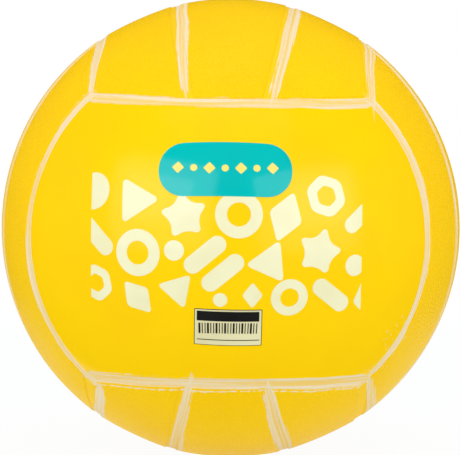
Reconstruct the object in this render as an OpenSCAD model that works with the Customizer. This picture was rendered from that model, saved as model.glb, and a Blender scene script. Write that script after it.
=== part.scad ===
// Beach volleyball, built outwards from its bladder: a needle valve, a bladder, a wound thread
// layer, a rubber carcass, and cover panels with a painted channel between every two of them.
// Origin at the centre of the ball, +Z through the valve, the large front panel faces -Y. Millimetres.

/* [Ball] */
// Outside diameter over the cover panels
ball_d = 213; // [200:1:226]

/* [Cover] */
// Thickness of a cover panel, which is also the depth of the channels
panel_t = 1.2; // [0.8:0.1:2]
// Width of the channel between two panels, at its floor
channel_w = 4; // [3:0.5:8]
// Slope of a channel's walls, away from upright
wall_draft = 8; // [4:1:15]
// Radius rolled onto the outer edge of every panel
edge_r = 0.8; // [0.3:0.1:0.8]
// Angle from the middle of a face to its far ends, along the strips
face_reach = 55.6; // [52:0.2:60]
// Angle from the middle of a face to a strip seam, half way along the strip
seam_mid = 14.5; // [11:0.5:17]
// Angle from the middle of a face to a strip seam, at the ends of the strip
seam_end = 9; // [7:0.5:12]

/* [Layers under the cover] */
// Thickness of the rubber carcass
carcass_t = 0.7; // [0.4:0.1:1.5]
// Thickness of the wound thread layer
winding_t = 0.5; // [0.3:0.1:1]
// Thickness of the bladder
bladder_t = 0.7; // [0.4:0.1:1.5]
// Glue line between two layers
bond_gap = 0.05; // [0.02:0.01:0.1]

/* [Valve boot] */
// Diameter of the neck that reaches up into the cover
neck_d = 11; // [10:0.5:14]
// Depth of the neck's rim below the outside of the ball
rim_sink = 0.5; // [0.2:0.1:1]
// Diameter of the flange that is bonded inside the bladder
flange_d = 28; // [22:1:40]
// Thickness of the flange
flange_t = 1.2; // [0.8:0.1:2]
// Diameter of the stem that hangs below the flange
stem_d = 10; // [9.5:0.5:13]
// Height of the lip under the core, at the bottom of the stem
lip_h = 2; // [1:0.5:4]
// How far the lip reaches in under the core
lip_over = 0.6; // [0.3:0.1:1]
// Room between the neck and the layers it passes through
neck_gap = 0.15; // [0.05:0.05:0.3]

/* [Valve core] */
// Diameter of the head
head_d = 7.6; // [6.8:0.2:8.4]
// Height of the head
head_h = 2.4; // [1.6:0.2:3.2]
// Diameter of the shank
shank_d = 5.4; // [4.6:0.2:6]
// Diameter of the bulb that holds the core in the boot
bulb_d = 6.6; // [6.2:0.2:7.4]
// Height of the bulb
bulb_h = 3; // [2:0.5:4]
// Length of the core under its head
core_l = 15; // [13:0.5:17]
// Bore for the inflating needle
needle_d = 2; // [1.6:0.1:2.4]
// Depth of the countersink that guides the needle in
mouth_h = 0.8; // [0.4:0.1:1.2]
// Rubber left below the needle bore, which the slit closes
tip_t = 3; // [2:0.5:4]
// Width of the slit through the tip
slit_w = 0.3; // [0.2:0.1:0.5]
// Length of the slit, across the bore
slit_l = 1.4; // [1:0.1:1.6]
// Room between the core and its socket
socket_gap = 0.05; // [0.02:0.01:0.1]

/* [Hidden] */
$fn = 96;

// Radii of the layers, from the outside in
r_out = ball_d / 2;
r_panel = r_out - panel_t;
r_carcass = r_panel - bond_gap;
r_carcass_in = r_carcass - carcass_t;
r_winding = r_carcass_in - bond_gap;
r_winding_in = r_winding - winding_t;
r_bladder = r_winding_in - bond_gap;
r_bladder_in = r_bladder - bladder_t;
r_flange = r_bladder_in - bond_gap;

// The six faces meet in threes along the diagonals of a cube, and each face reaches further
// along its strips than across them. One circle on the ball runs through the two corners and
// the middle of a far end. end_tilt is the angle of its axis from the face, end_spread its radius.
corner = 1 / sqrt(3);
end_tilt = atan2(corner - cos(face_reach), sin(face_reach) - corner);
end_spread = face_reach - end_tilt;

// A strip seam is a circle too, through its middle and its two ends on the far-end circles.
seam_end_rise = sqrt(1 - pow(sin(seam_end), 2));
seam_end_angle = end_tilt + acos(cos(end_spread) / seam_end_rise);
seam_end_z = seam_end_rise * cos(seam_end_angle);
seam_tilt = atan2(sin(seam_mid) - sin(seam_end), cos(seam_mid) - seam_end_z);
seam_spread = 90 - (seam_mid - seam_tilt);

// Half a channel as an angle at the ball's centre
half_channel = asin(channel_w / 2 / r_panel);

// The edge of a panel is cut in straight passes: its drafted wall, then facets of the rolled edge
roll_r = min(edge_r, 0.7 * panel_t);
passes = [wall_draft, 36, 64];
last_pass = len(passes) - 1;

// Where the cutting shapes start and stop, clear of the cover
cut_depth = 5;
cut_rise = 6;
cut_in = 0.88 * r_out;
cut_out = 1.6 * r_out;
face_floor = 0.4 * r_out;
face_half = 0.75 * r_out;
strip_half = 0.45 * r_out;
beyond = 25;
sweep = 130;

// Heights on the valve's axis
rim_z = r_out - rim_sink;
head_z = rim_z - head_h;
core_z = head_z - core_l;
stem_z = core_z - lip_h;
neck_z = r_flange - 0.6 * flange_t;
stem_top_z = r_flange - 0.4 * flange_t;
bore_bottom_z = core_z + tip_t;
mouth_z = rim_z - mouth_h;
bulb_taper = (bulb_d - shank_d) / 2;

cover_yellow = [1.0, 0.82, 0.0];
channel_cream = [0.97, 0.90, 0.72];
thread_white = [0.90, 0.90, 0.87];
bladder_black = [0.10, 0.10, 0.11];
valve_grey = [0.22, 0.22, 0.23];
core_black = [0.06, 0.06, 0.06];

// A point at a distance from the ball's centre and an angle from the axis of a revolved cut
function polar(r, angle) = [r * sin(angle), r * cos(angle)];

// One straight pass of a panel's edge, through the point where its slope touches the rolled edge.
// foot is the angle of the wall on the channel floor, and side says on which side of it the panel
// lies: +1 or -1.
function edge_line(foot, side, slope) =
  let (
    first = (slope == wall_draft),
    lean = (panel_t - roll_r) * tan(wall_draft),
    along = first ? 0 : lean + roll_r * (1 - cos(slope)),
    up = first ? 0 : panel_t - roll_r * (1 - sin(slope)),
    angle = foot + side * along / (r_panel + up) * 180 / PI,
    on_edge = polar(r_panel + up, angle),
    way = polar(1, angle + side * slope)
  )
  [on_edge - cut_depth * way, on_edge + cut_rise * way];

// What one pass takes off a panel along a circle on the ball: a wedge on the far side of the wall,
// swept about the circle's axis, here Z, over the part of the circle that lies towards +Y
module edge_cut(foot, side, slope) {
  line = edge_line(foot, side, slope);
  lean = atan2(line[1][0], line[1][1]);
  rotate([0, 0, 90 - sweep / 2])
    rotate_extrude(angle = sweep)
      polygon([
        polar(cut_in, foot - side * beyond), line[0], line[1],
        polar(cut_out, lean), polar(cut_out, foot - side * beyond)
      ]);
}

// One hollow layer of the ball
module shell(outer_r, inner_r) {
  difference() {
    sphere(outer_r);
    sphere(inner_r);
  }
}

// A layer with the hole that the valve's neck passes through
module layer(outer_r, inner_r) {
  difference() {
    shell(outer_r, inner_r);
    cylinder(h = cut_out, d = neck_d + 2 * neck_gap);
  }
}

// The cover above the top face between two values of X, before its edges are cut. The poles of the
// ball lie along Y here, clear of the face.
module face_blank(from_x, to_x) {
  intersection() {
    rotate([90, 0, 0]) rotate([0, 0, -90]) shell(r_out, r_panel);
    translate([from_x, -cut_out, face_floor]) cube([to_x - from_x, 2 * cut_out, cut_out]);
  }
}

// What one pass takes off the top face at its far ends, at its sides and at its strip seams
module end_cut(slope) {
  rotate([-end_tilt, 0, 0]) edge_cut(end_spread - half_channel, -1, slope);
}

module side_cut(slope) {
  rotate([0, 90 - end_tilt, 0]) rotate([0, 0, 90]) edge_cut(end_spread + half_channel, 1, slope);
}

module seam_cut(slope) {
  rotate([0, 90 + seam_tilt, 0]) rotate([0, 0, 90]) edge_cut(seam_spread + half_channel, 1, slope);
}

module seam_cut_back(slope) {
  rotate([0, 90 + seam_tilt, 0]) rotate([0, 0, 90]) edge_cut(seam_spread - half_channel, -1, slope);
}

// A shape and the same one turned to the other side of the face
module both_ways() {
  for (turn = [0, 180])
    rotate([0, 0, turn]) children();
}

// The cover of the top face in one piece, and its strips, which run along Y. Each pass cuts the
// result of the pass before it.
module face_cover(pass = last_pass) {
  slope = passes[pass];
  difference() {
    difference() {
      if (pass > 0) face_cover(pass - 1);
      else face_blank(-face_half, face_half);
      both_ways() side_cut(slope);
    }
    both_ways() end_cut(slope);
  }
}

module middle_strip(pass = last_pass) {
  slope = passes[pass];
  difference() {
    difference() {
      if (pass > 0) middle_strip(pass - 1);
      else face_blank(-strip_half, strip_half);
      both_ways() seam_cut(slope);
    }
    both_ways() end_cut(slope);
  }
}

// The outer strip on the +X side
module outer_strip(pass = last_pass) {
  slope = passes[pass];
  difference() {
    difference() {
      if (pass > 0) outer_strip(pass - 1);
      else face_blank(0, face_half);
      side_cut(slope);
      seam_cut_back(slope);
    }
    both_ways() end_cut(slope);
  }
}

// Places a piece of the top face on another face. The side and the front faces repeat the top
// one, turned a third of a turn about a diagonal of the cube.
diagonal = [1, 1, 1];
third = 120;
module on_top() { children(); }
module on_bottom() { rotate([180, 0, 0]) children(); }
module on_right() { rotate(third, diagonal) children(); }
module on_left() { rotate([0, 0, 180]) on_right() children(); }
module on_back() { rotate(2 * third, diagonal) children(); }
module on_front() { rotate([0, 0, 180]) on_back() children(); }
module turned() { rotate([0, 0, 180]) children(); }

module front_panel() { color(cover_yellow) on_front() face_cover(); }
module back_panel() { color(cover_yellow) on_back() face_cover(); }

module top_left_strip() { color(cover_yellow) on_top() turned() outer_strip(); }
module top_right_strip() { color(cover_yellow) on_top() outer_strip(); }

// The valve shows in the middle strip of the top face.
module top_middle_strip() {
  color(cover_yellow)
    difference() {
      on_top() middle_strip();
      cylinder(h = cut_out, d = neck_d + 2 * neck_gap);
    }
}

module bottom_left_strip() { color(cover_yellow) on_bottom() turned() outer_strip(); }
module bottom_middle_strip() { color(cover_yellow) on_bottom() middle_strip(); }
module bottom_right_strip() { color(cover_yellow) on_bottom() outer_strip(); }

module right_front_strip() { color(cover_yellow) on_right() turned() outer_strip(); }
module right_middle_strip() { color(cover_yellow) on_right() middle_strip(); }
module right_back_strip() { color(cover_yellow) on_right() outer_strip(); }

module left_front_strip() { color(cover_yellow) on_left() outer_strip(); }
module left_middle_strip() { color(cover_yellow) on_left() middle_strip(); }
module left_back_strip() { color(cover_yellow) on_left() turned() outer_strip(); }

module carcass() { color(channel_cream) layer(r_carcass, r_carcass_in); }
module winding() { color(thread_white) layer(r_winding, r_winding_in); }
module bladder() { color(bladder_black) layer(r_bladder, r_bladder_in); }

// The outline of the core, which its socket repeats with room all round
module core_outline(room) {
  polygon([
    [0, core_z - room],
    [bulb_d / 2 - bulb_taper + room, core_z - room],
    [bulb_d / 2 + room, core_z + bulb_taper],
    [bulb_d / 2 + room, core_z + bulb_h],
    [shank_d / 2 + room, core_z + bulb_h + bulb_taper],
    [shank_d / 2 + room, head_z - room],
    [head_d / 2 + room, head_z - room],
    [head_d / 2 + room, rim_z + room],
    [0, rim_z + room]
  ]);
}

// The boot: a flange inside the bladder, a neck up through the layers and a stem that hangs inside
module valve_boot() {
  color(valve_grey)
    difference() {
      union() {
        intersection() {
          shell(r_flange, r_flange - flange_t);
          cylinder(h = cut_out, d = flange_d);
        }
        translate([0, 0, neck_z]) cylinder(h = rim_z - neck_z, d = neck_d);
        translate([0, 0, stem_z]) cylinder(h = stem_top_z - stem_z, d = stem_d);
      }
      rotate_extrude() core_outline(socket_gap);
      translate([0, 0, stem_z - lip_h]) cylinder(h = core_l, d = shank_d - 2 * lip_over);
    }
}

// The core: a rubber plug with a blind needle bore, and a slit through its tip that shuts itself
module valve_core() {
  color(core_black)
    difference() {
      rotate_extrude() core_outline(0);
      translate([0, 0, bore_bottom_z]) cylinder(h = core_l, d = needle_d);
      translate([0, 0, mouth_z]) cylinder(h = 2 * mouth_h, d1 = needle_d, d2 = needle_d + 4 * mouth_h);
      translate([-slit_l / 2, -slit_w / 2, core_z - tip_t]) cube([slit_l, slit_w, 2 * tip_t + needle_d / 2]);
    }
}

bladder();
valve_boot();
valve_core();
winding();
carcass();
front_panel();
back_panel();
top_left_strip();
top_middle_strip();
top_right_strip();
bottom_left_strip();
bottom_middle_strip();
bottom_right_strip();
left_front_strip();
left_middle_strip();
left_back_strip();
right_front_strip();
right_middle_strip();
right_back_strip();
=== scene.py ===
"""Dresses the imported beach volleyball.

The cover panels, the rubber carcass under them, the paint in the channels and the prints are
modelled here in the frame's own place and size. The valve, the bladder and the wound thread stay as
they are and get a finish. Lengths are metres and angles radians, unless a name or a docstring says
otherwise.
"""

import logging
from contextlib import contextmanager
from dataclasses import dataclass
from enum import Enum
from math import acos, asin, atan2, ceil, cos, pi, radians, sin, sqrt
from typing import Callable, Iterator

import bmesh
import bpy
from mathutils import Matrix, Quaternion, Vector

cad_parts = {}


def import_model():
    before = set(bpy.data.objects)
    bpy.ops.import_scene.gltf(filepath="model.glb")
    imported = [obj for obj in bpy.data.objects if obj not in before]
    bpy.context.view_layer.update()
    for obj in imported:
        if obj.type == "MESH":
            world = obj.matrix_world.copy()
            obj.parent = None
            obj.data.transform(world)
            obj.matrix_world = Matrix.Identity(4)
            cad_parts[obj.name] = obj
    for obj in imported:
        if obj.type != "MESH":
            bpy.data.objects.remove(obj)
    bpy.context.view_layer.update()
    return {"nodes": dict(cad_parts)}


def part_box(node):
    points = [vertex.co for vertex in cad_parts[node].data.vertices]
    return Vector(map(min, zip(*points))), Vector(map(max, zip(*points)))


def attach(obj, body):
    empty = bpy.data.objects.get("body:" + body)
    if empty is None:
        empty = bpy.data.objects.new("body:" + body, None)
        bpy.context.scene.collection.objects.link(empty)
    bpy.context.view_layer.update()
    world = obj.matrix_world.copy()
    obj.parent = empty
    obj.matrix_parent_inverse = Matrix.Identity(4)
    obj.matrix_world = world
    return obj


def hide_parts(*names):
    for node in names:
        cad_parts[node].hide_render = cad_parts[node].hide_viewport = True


LOG = logging.getLogger("beach_volleyball")
MM = 0.001
BODY = "root"
PHOTO_WIDTH = 460
VALVE_HOLE_R = 5.65 * MM
SMOOTH_ANGLE = radians(40)
ROUND_POINTS = 48
HALF_TURN = Matrix.Rotation(pi, 4, "Z")

Piece = bpy.types.Object
Material = bpy.types.Material
Colour = tuple[float, float, float, float]
Span = tuple[float, float]
Bar = tuple[float, float, float, float]
Number = "Wire | float"
Looks = tuple["Wire", "Wire", "Wire", float]
LOOKS = ("Base Color", "Roughness", "Normal", "Specular IOR Level")
WHITE: Colour = (1.0, 1.0, 1.0, 1.0)
BLACK: Colour = (0.0, 0.0, 0.0, 1.0)


def screen(red: int, green: int, blue: int) -> Colour:
    """A screen colour, 0 to 255 each, as the linear light that a shader takes."""

    def linear(level: int) -> float:
        """One channel as linear light."""
        share = level / 255
        return share / 12.92 if share <= 0.04045 else ((share + 0.055) / 1.055) ** 2.4

    return (linear(red), linear(green), linear(blue), 1.0)


# Modelling by hand


def hold(piece: Piece) -> None:
    """Selects one piece alone and makes it the active one."""
    bpy.ops.object.select_all(action="DESELECT")
    piece.select_set(True)
    bpy.context.view_layer.objects.active = piece


def named(name: str) -> Piece:
    """Names the piece that was just added, copied or joined, and returns it."""
    piece = bpy.context.object
    piece.name = name
    piece.data.name = name
    return piece


@contextmanager
def editing(piece: Piece) -> Iterator[None]:
    """Opens a piece in edit mode with everything in it selected."""
    hold(piece)
    bpy.ops.object.mode_set(mode="EDIT")
    bpy.ops.mesh.select_mode(type="VERT")
    bpy.ops.mesh.select_all(action="SELECT")
    yield
    bpy.ops.object.mode_set(mode="OBJECT")


def finish_with(piece: Piece, kind: str, **settings: object) -> None:
    """Adds one modifier to a piece, by its type and settings, and applies it."""
    hold(piece)
    step = piece.modifiers.new(kind.lower(), kind)
    for name, value in settings.items():
        setattr(step, name, value)
    bpy.ops.object.modifier_apply(modifier=step.name)


def round_out(piece: Piece, radius: float) -> None:
    """Moves every point of a piece straight out, or in, to one distance from the ball's centre."""
    finish_with(
        piece,
        "CAST",
        cast_type="SPHERE",
        factor=1.0,
        size=radius,
        radius=0.0,
        use_radius_as_size=False,
    )


def thicken(piece: Piece, thickness: float, even: bool = True) -> None:
    """Gives a skin a wall on its inner side, even over its edges or straight along its normals."""
    finish_with(piece, "SOLIDIFY", thickness=thickness, offset=-1.0, use_even_offset=even)


def set_down(piece: Piece, place: Matrix) -> None:
    """Turns and moves a piece, and leaves its object unturned at the origin."""
    hold(piece)
    piece.matrix_world = place
    bpy.ops.object.transform_apply(location=True, rotation=True, scale=True)


def turned_copy(master: Piece, name: str, turn: Matrix) -> Piece:
    """A copy of a piece with a mesh of its own, which is turned about the ball's centre."""
    hold(master)
    bpy.ops.object.duplicate(linked=False)
    copy = named(name)
    set_down(copy, turn)
    return copy


def join_all(pieces: list[Piece], name: str) -> Piece:
    """Joins pieces into one and names it."""
    hold(pieces[0])
    for piece in pieces:
        piece.select_set(True)
    if len(pieces) > 1:
        bpy.ops.object.join()
    return named(name)


def discard(piece: Piece) -> None:
    """Deletes a piece that was only a master or a cutter."""
    hold(piece)
    bpy.ops.object.delete()


def smooth(piece: Piece) -> None:
    """Shades a piece smooth, with its sharp edges kept."""
    hold(piece)
    bpy.ops.object.shade_smooth_by_angle(angle=SMOOTH_ANGLE)


# Shader maths


def maths(operation: str, flipped: bool = False) -> Callable[..., "Wire"]:
    """A method that adds a Math node on a wire and other values, which come first if flipped."""

    def method(self: "Wire", *others: Number) -> "Wire":
        """Adds the node."""
        return self.bench.math(operation, *((*others, self) if flipped else (self, *others)))

    return method


@dataclass(frozen=True)
class Wire:
    """A socket in a node tree, on which Python's operators add Math nodes."""

    bench: "NodeBench"
    socket: bpy.types.NodeSocket

    __add__ = __radd__ = maths("ADD")
    __sub__ = maths("SUBTRACT")
    __rsub__ = maths("SUBTRACT", flipped=True)
    __mul__ = __rmul__ = maths("MULTIPLY")
    __abs__ = maths("ABSOLUTE")
    sign = maths("SIGN")
    sine = maths("SINE")
    arccos = maths("ARCCOSINE")
    at_least = maths("MAXIMUM")

    def output(self, which: int | str) -> "Wire":
        """Another output of the same node."""
        return Wire(self.bench, self.socket.node.outputs[which])

    def rise(self, low: Number, high: Number) -> "Wire":
        """0 below low and 1 above high, with a smooth slope between."""
        inputs = {"Value": self, "From Min": low, "From Max": high}
        return self.bench.node("ShaderNodeMapRange", {"interpolation_type": "SMOOTHSTEP"}, inputs)


class NodeBench:
    """Adds nodes to one node tree."""

    def __init__(self, tree: bpy.types.NodeTree) -> None:
        """Empties the tree and keeps it."""
        self.tree = tree
        tree.nodes.clear()

    def node(
        self,
        kind: str,
        settings: dict[str, object] | None = None,
        inputs: dict[int | str, object] | None = None,
        output: int | str = 0,
    ) -> Wire:
        """Adds a node.

        Args:
            kind: The node's type.
            settings: Its settings, which are set first.
            inputs: The value or the wire of each socket, by name or number.
            output: The output that is returned.

        Returns:
            A wire from that output.
        """
        made = self.tree.nodes.new(kind)
        for name, value in (settings or {}).items():
            setattr(made, name, value)
        for name, value in (inputs or {}).items():
            if isinstance(value, Wire):
                self.tree.links.new(value.socket, made.inputs[name])
            else:
                made.inputs[name].default_value = value
        return Wire(self, made.outputs[output] if made.outputs else None)

    def math(self, operation: str, *values: Number) -> Wire:
        """Adds a Math node on wires and numbers."""
        return self.node("ShaderNodeMath", {"operation": operation}, dict(enumerate(values)))

    def vector(self, operation: str, *values: object, output: int | str = 0) -> Wire:
        """Adds a Vector Math node on wires and vectors."""
        inputs = dict(enumerate(values))
        return self.node("ShaderNodeVectorMath", {"operation": operation}, inputs, output)

    def place(self) -> Wire:
        """The point on the object, in metres."""
        return self.node("ShaderNodeTexCoord", output="Object")

    def point(self, x: Number, y: Number, z: Number) -> Wire:
        """A point made of three values."""
        return self.node("ShaderNodeCombineXYZ", None, {0: x, 1: y, 2: z})

    def noise(self, where: Wire, scale: float = 1.0, detail: float = 2.0) -> Wire:
        """Cloudy noise from 0 to 1."""
        inputs = {"Vector": where, "Scale": scale, "Detail": detail}
        return self.node("ShaderNodeTexNoise", None, inputs)

    def blend(self, share: Number, first: object, second: object) -> Wire:
        """Mixes two colours, the second by its share."""
        return self.node("ShaderNodeMix", {"data_type": "RGBA"}, {0: share, 6: first, 7: second}, 2)

    def bump(self, height: Wire, depth: float) -> Wire:
        """A normal that follows a height from 0 to 1 of that real depth."""
        inputs = {"Height": height, "Distance": depth, "Strength": 1.0}
        return self.node("ShaderNodeBump", None, inputs)


def new_material(name: str) -> tuple[Material, NodeBench]:
    """An empty material and the bench that fills it."""
    material = bpy.data.materials.new(name)
    material.use_nodes = True
    return material, NodeBench(material.node_tree)


# The layout of the cover


@dataclass(frozen=True)
class Circle:
    """A circle on the ball: the axis through its middle, and its radius as an angle."""

    axis: Vector
    spread: float

    def wider(self, angle: float) -> "Circle":
        """The circle moved outwards by an angle."""
        return Circle(self.axis, self.spread + angle)

    def flipped(self, x: int, y: int) -> "Circle":
        """The circle mirrored in X or Y by a sign of -1."""
        return Circle(Vector((self.axis.x * x, self.axis.y * y, self.axis.z)), self.spread)

    def rolled(self) -> "Circle":
        """The circle on the next face, where X, Y and Z have become Y, Z and X."""
        return Circle(Vector((self.axis.z, self.axis.x, self.axis.y)), self.spread)

    def away(self, direction: Vector) -> float:
        """How far outside the circle a direction lies, as an angle."""
        return direction.angle(self.axis) - self.spread

    def meets(self, other: "Circle", near: Vector) -> Vector:
        """The direction in which two circles cross, on the side that near points to."""
        lean = self.axis.dot(other.axis)
        ours, theirs = cos(self.spread), cos(other.spread)
        square = 1 - lean * lean
        middle = (self.axis * (ours - lean * theirs) + other.axis * (theirs - lean * ours)) / square
        side = self.axis.cross(other.axis) * sqrt((1 - middle.length_squared) / square)
        return max(middle + side, middle - side, key=near.dot)

    def turn(self, start: Vector, end: Vector) -> float:
        """The angle about the axis from one point on the circle to another."""
        first = start - self.axis * start.dot(self.axis)
        last = end - self.axis * end.dot(self.axis)
        return atan2(self.axis.dot(first.cross(last)), first.dot(last))


@dataclass(frozen=True)
class CoverLayout:
    """The seams of the top face, whose strips run along Y. The other faces repeat them."""

    radius: float
    panel_t: float = 1.2 * MM
    channel_w: float = 4 * MM
    face_reach: float = radians(55.6)
    seam_mid: float = radians(14.5)
    seam_end: float = radians(9)

    @property
    def half_channel(self) -> float:
        """Half a channel as an angle at the ball's centre."""
        return asin(self.channel_w / 2 / (self.radius - self.panel_t))

    @property
    def end_tilt(self) -> float:
        """The angle of a far end's axis from the middle of the face."""
        corner = 1 / sqrt(3)
        return atan2(corner - cos(self.face_reach), sin(self.face_reach) - corner)

    @property
    def end_spread(self) -> float:
        """The radius of a far end's circle."""
        return self.face_reach - self.end_tilt

    @property
    def far_end(self) -> Circle:
        """The middle of the channel at the face's end towards +Y."""
        return Circle(Vector((0, sin(self.end_tilt), cos(self.end_tilt))), self.end_spread)

    @property
    def side(self) -> Circle:
        """The middle of the channel at the face's side towards +X."""
        return self.far_end.rolled()

    @property
    def next_side(self) -> Circle:
        """The same channel of the face towards +X, at its side towards +Y."""
        return self.side.rolled()

    @property
    def strip_seam(self) -> Circle:
        """The middle of the channel between the middle strip and the strip towards +X."""
        x = sin(self.seam_end)
        rise = sqrt(1 - x * x)
        end_z = rise * cos(self.end_tilt + acos(cos(self.end_spread) / rise))
        tilt = atan2(sin(self.seam_mid) - x, cos(self.seam_mid) - end_z)
        return Circle(Vector((cos(tilt), 0, -sin(tilt))), pi / 2 - (self.seam_mid - tilt))

    @property
    def next_strip_seam(self) -> Circle:
        """The same strip seam on the face towards +X, whose strips run along Z."""
        return self.strip_seam.rolled()


class Face(Enum):
    """A face of the ball, by the turns that take the top face there.

    First come thirds of a turn about the diagonal, then half a turn about the axis that is named.
    """

    TOP = (0, "")
    BOTTOM = (0, "X")
    RIGHT = (1, "")
    LEFT = (1, "Z")
    BACK = (2, "")
    FRONT = (2, "Z")

    @property
    def turn(self) -> Matrix:
        """The turn that takes the top face here."""
        thirds, half = self.value
        third = Matrix.Rotation(2 * pi / 3 * thirds, 4, Vector((1, 1, 1)))
        return Matrix.Rotation(pi, 4, half) @ third if half else third


# Finishes


@dataclass(frozen=True)
class Finish:
    """What the surface of a piece looks like."""

    def looks(self, bench: NodeBench, place: Wire) -> Looks:
        """The colour, the roughness, the normal and the specular level at a place on the piece."""
        raise NotImplementedError

    def material(self, name: str) -> Material:
        """Makes the finish as one principled surface."""
        material, bench = new_material(name)
        inputs = dict(zip(LOOKS, self.looks(bench, bench.place())))
        shader = bench.node("ShaderNodeBsdfPrincipled", None, inputs)
        bench.node("ShaderNodeOutputMaterial", None, {"Surface": shader})
        return material


@dataclass(frozen=True)
class Slip:
    """How the brush slipped at one corner of the front.

    x is 1 at the right and -1 at the left, and z is 1 at the top and -1 at the bottom. Lengths are
    millimetres. The stroke lies further to the right by shift, or lower where it runs across the
    front, is thinner by thin, runs on by overrun and holds more paint by full. All of it comes in
    over the run called rise, and the shift goes again over the run called fall. Both are counted
    from the stroke's end.
    """

    x: int
    z: int
    shift: float = 0.0
    rise: Span = (-120.0, -100.0)
    fall: Span = (20.0, 40.0)
    thin: float = 0.0
    overrun: float = 0.0
    full: float = 0.0


@dataclass(frozen=True)
class Stroke:
    """A family of brush strokes along mirrored seams, given in the corner where x, y, z > 0.

    circle is the seam, along the number of the axis that it runs along, and sides the two axes
    whose signs tell the seams of the family apart. Widths are millimetres: half_w at the middle,
    and bias is added to it on the lower half of the ball and taken off on the upper half. A stroke
    ends at the circle named by stop, or at the corner of the faces where that is None. It narrows
    by narrow towards that end, thins out over the taper before it, and its bristles stop up to
    split apart. offset is how far it lies outside its circle and lean how far to the right of it.
    A stroke with stray has a thin broken line that far beyond its lower edge on the lower half.
    slips are the corners where it strays further.
    """

    circle: Circle
    along: int
    sides: tuple[int, int]
    half_w: float
    bias: float
    taper: float
    seed: float
    stop: Circle | None = None
    narrow: float = 0.0
    split: float = 5.0
    offset: float = 0.0
    lean: float = 0.0
    stray: float = 0.0
    slips: tuple[Slip, ...] = ()


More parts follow.
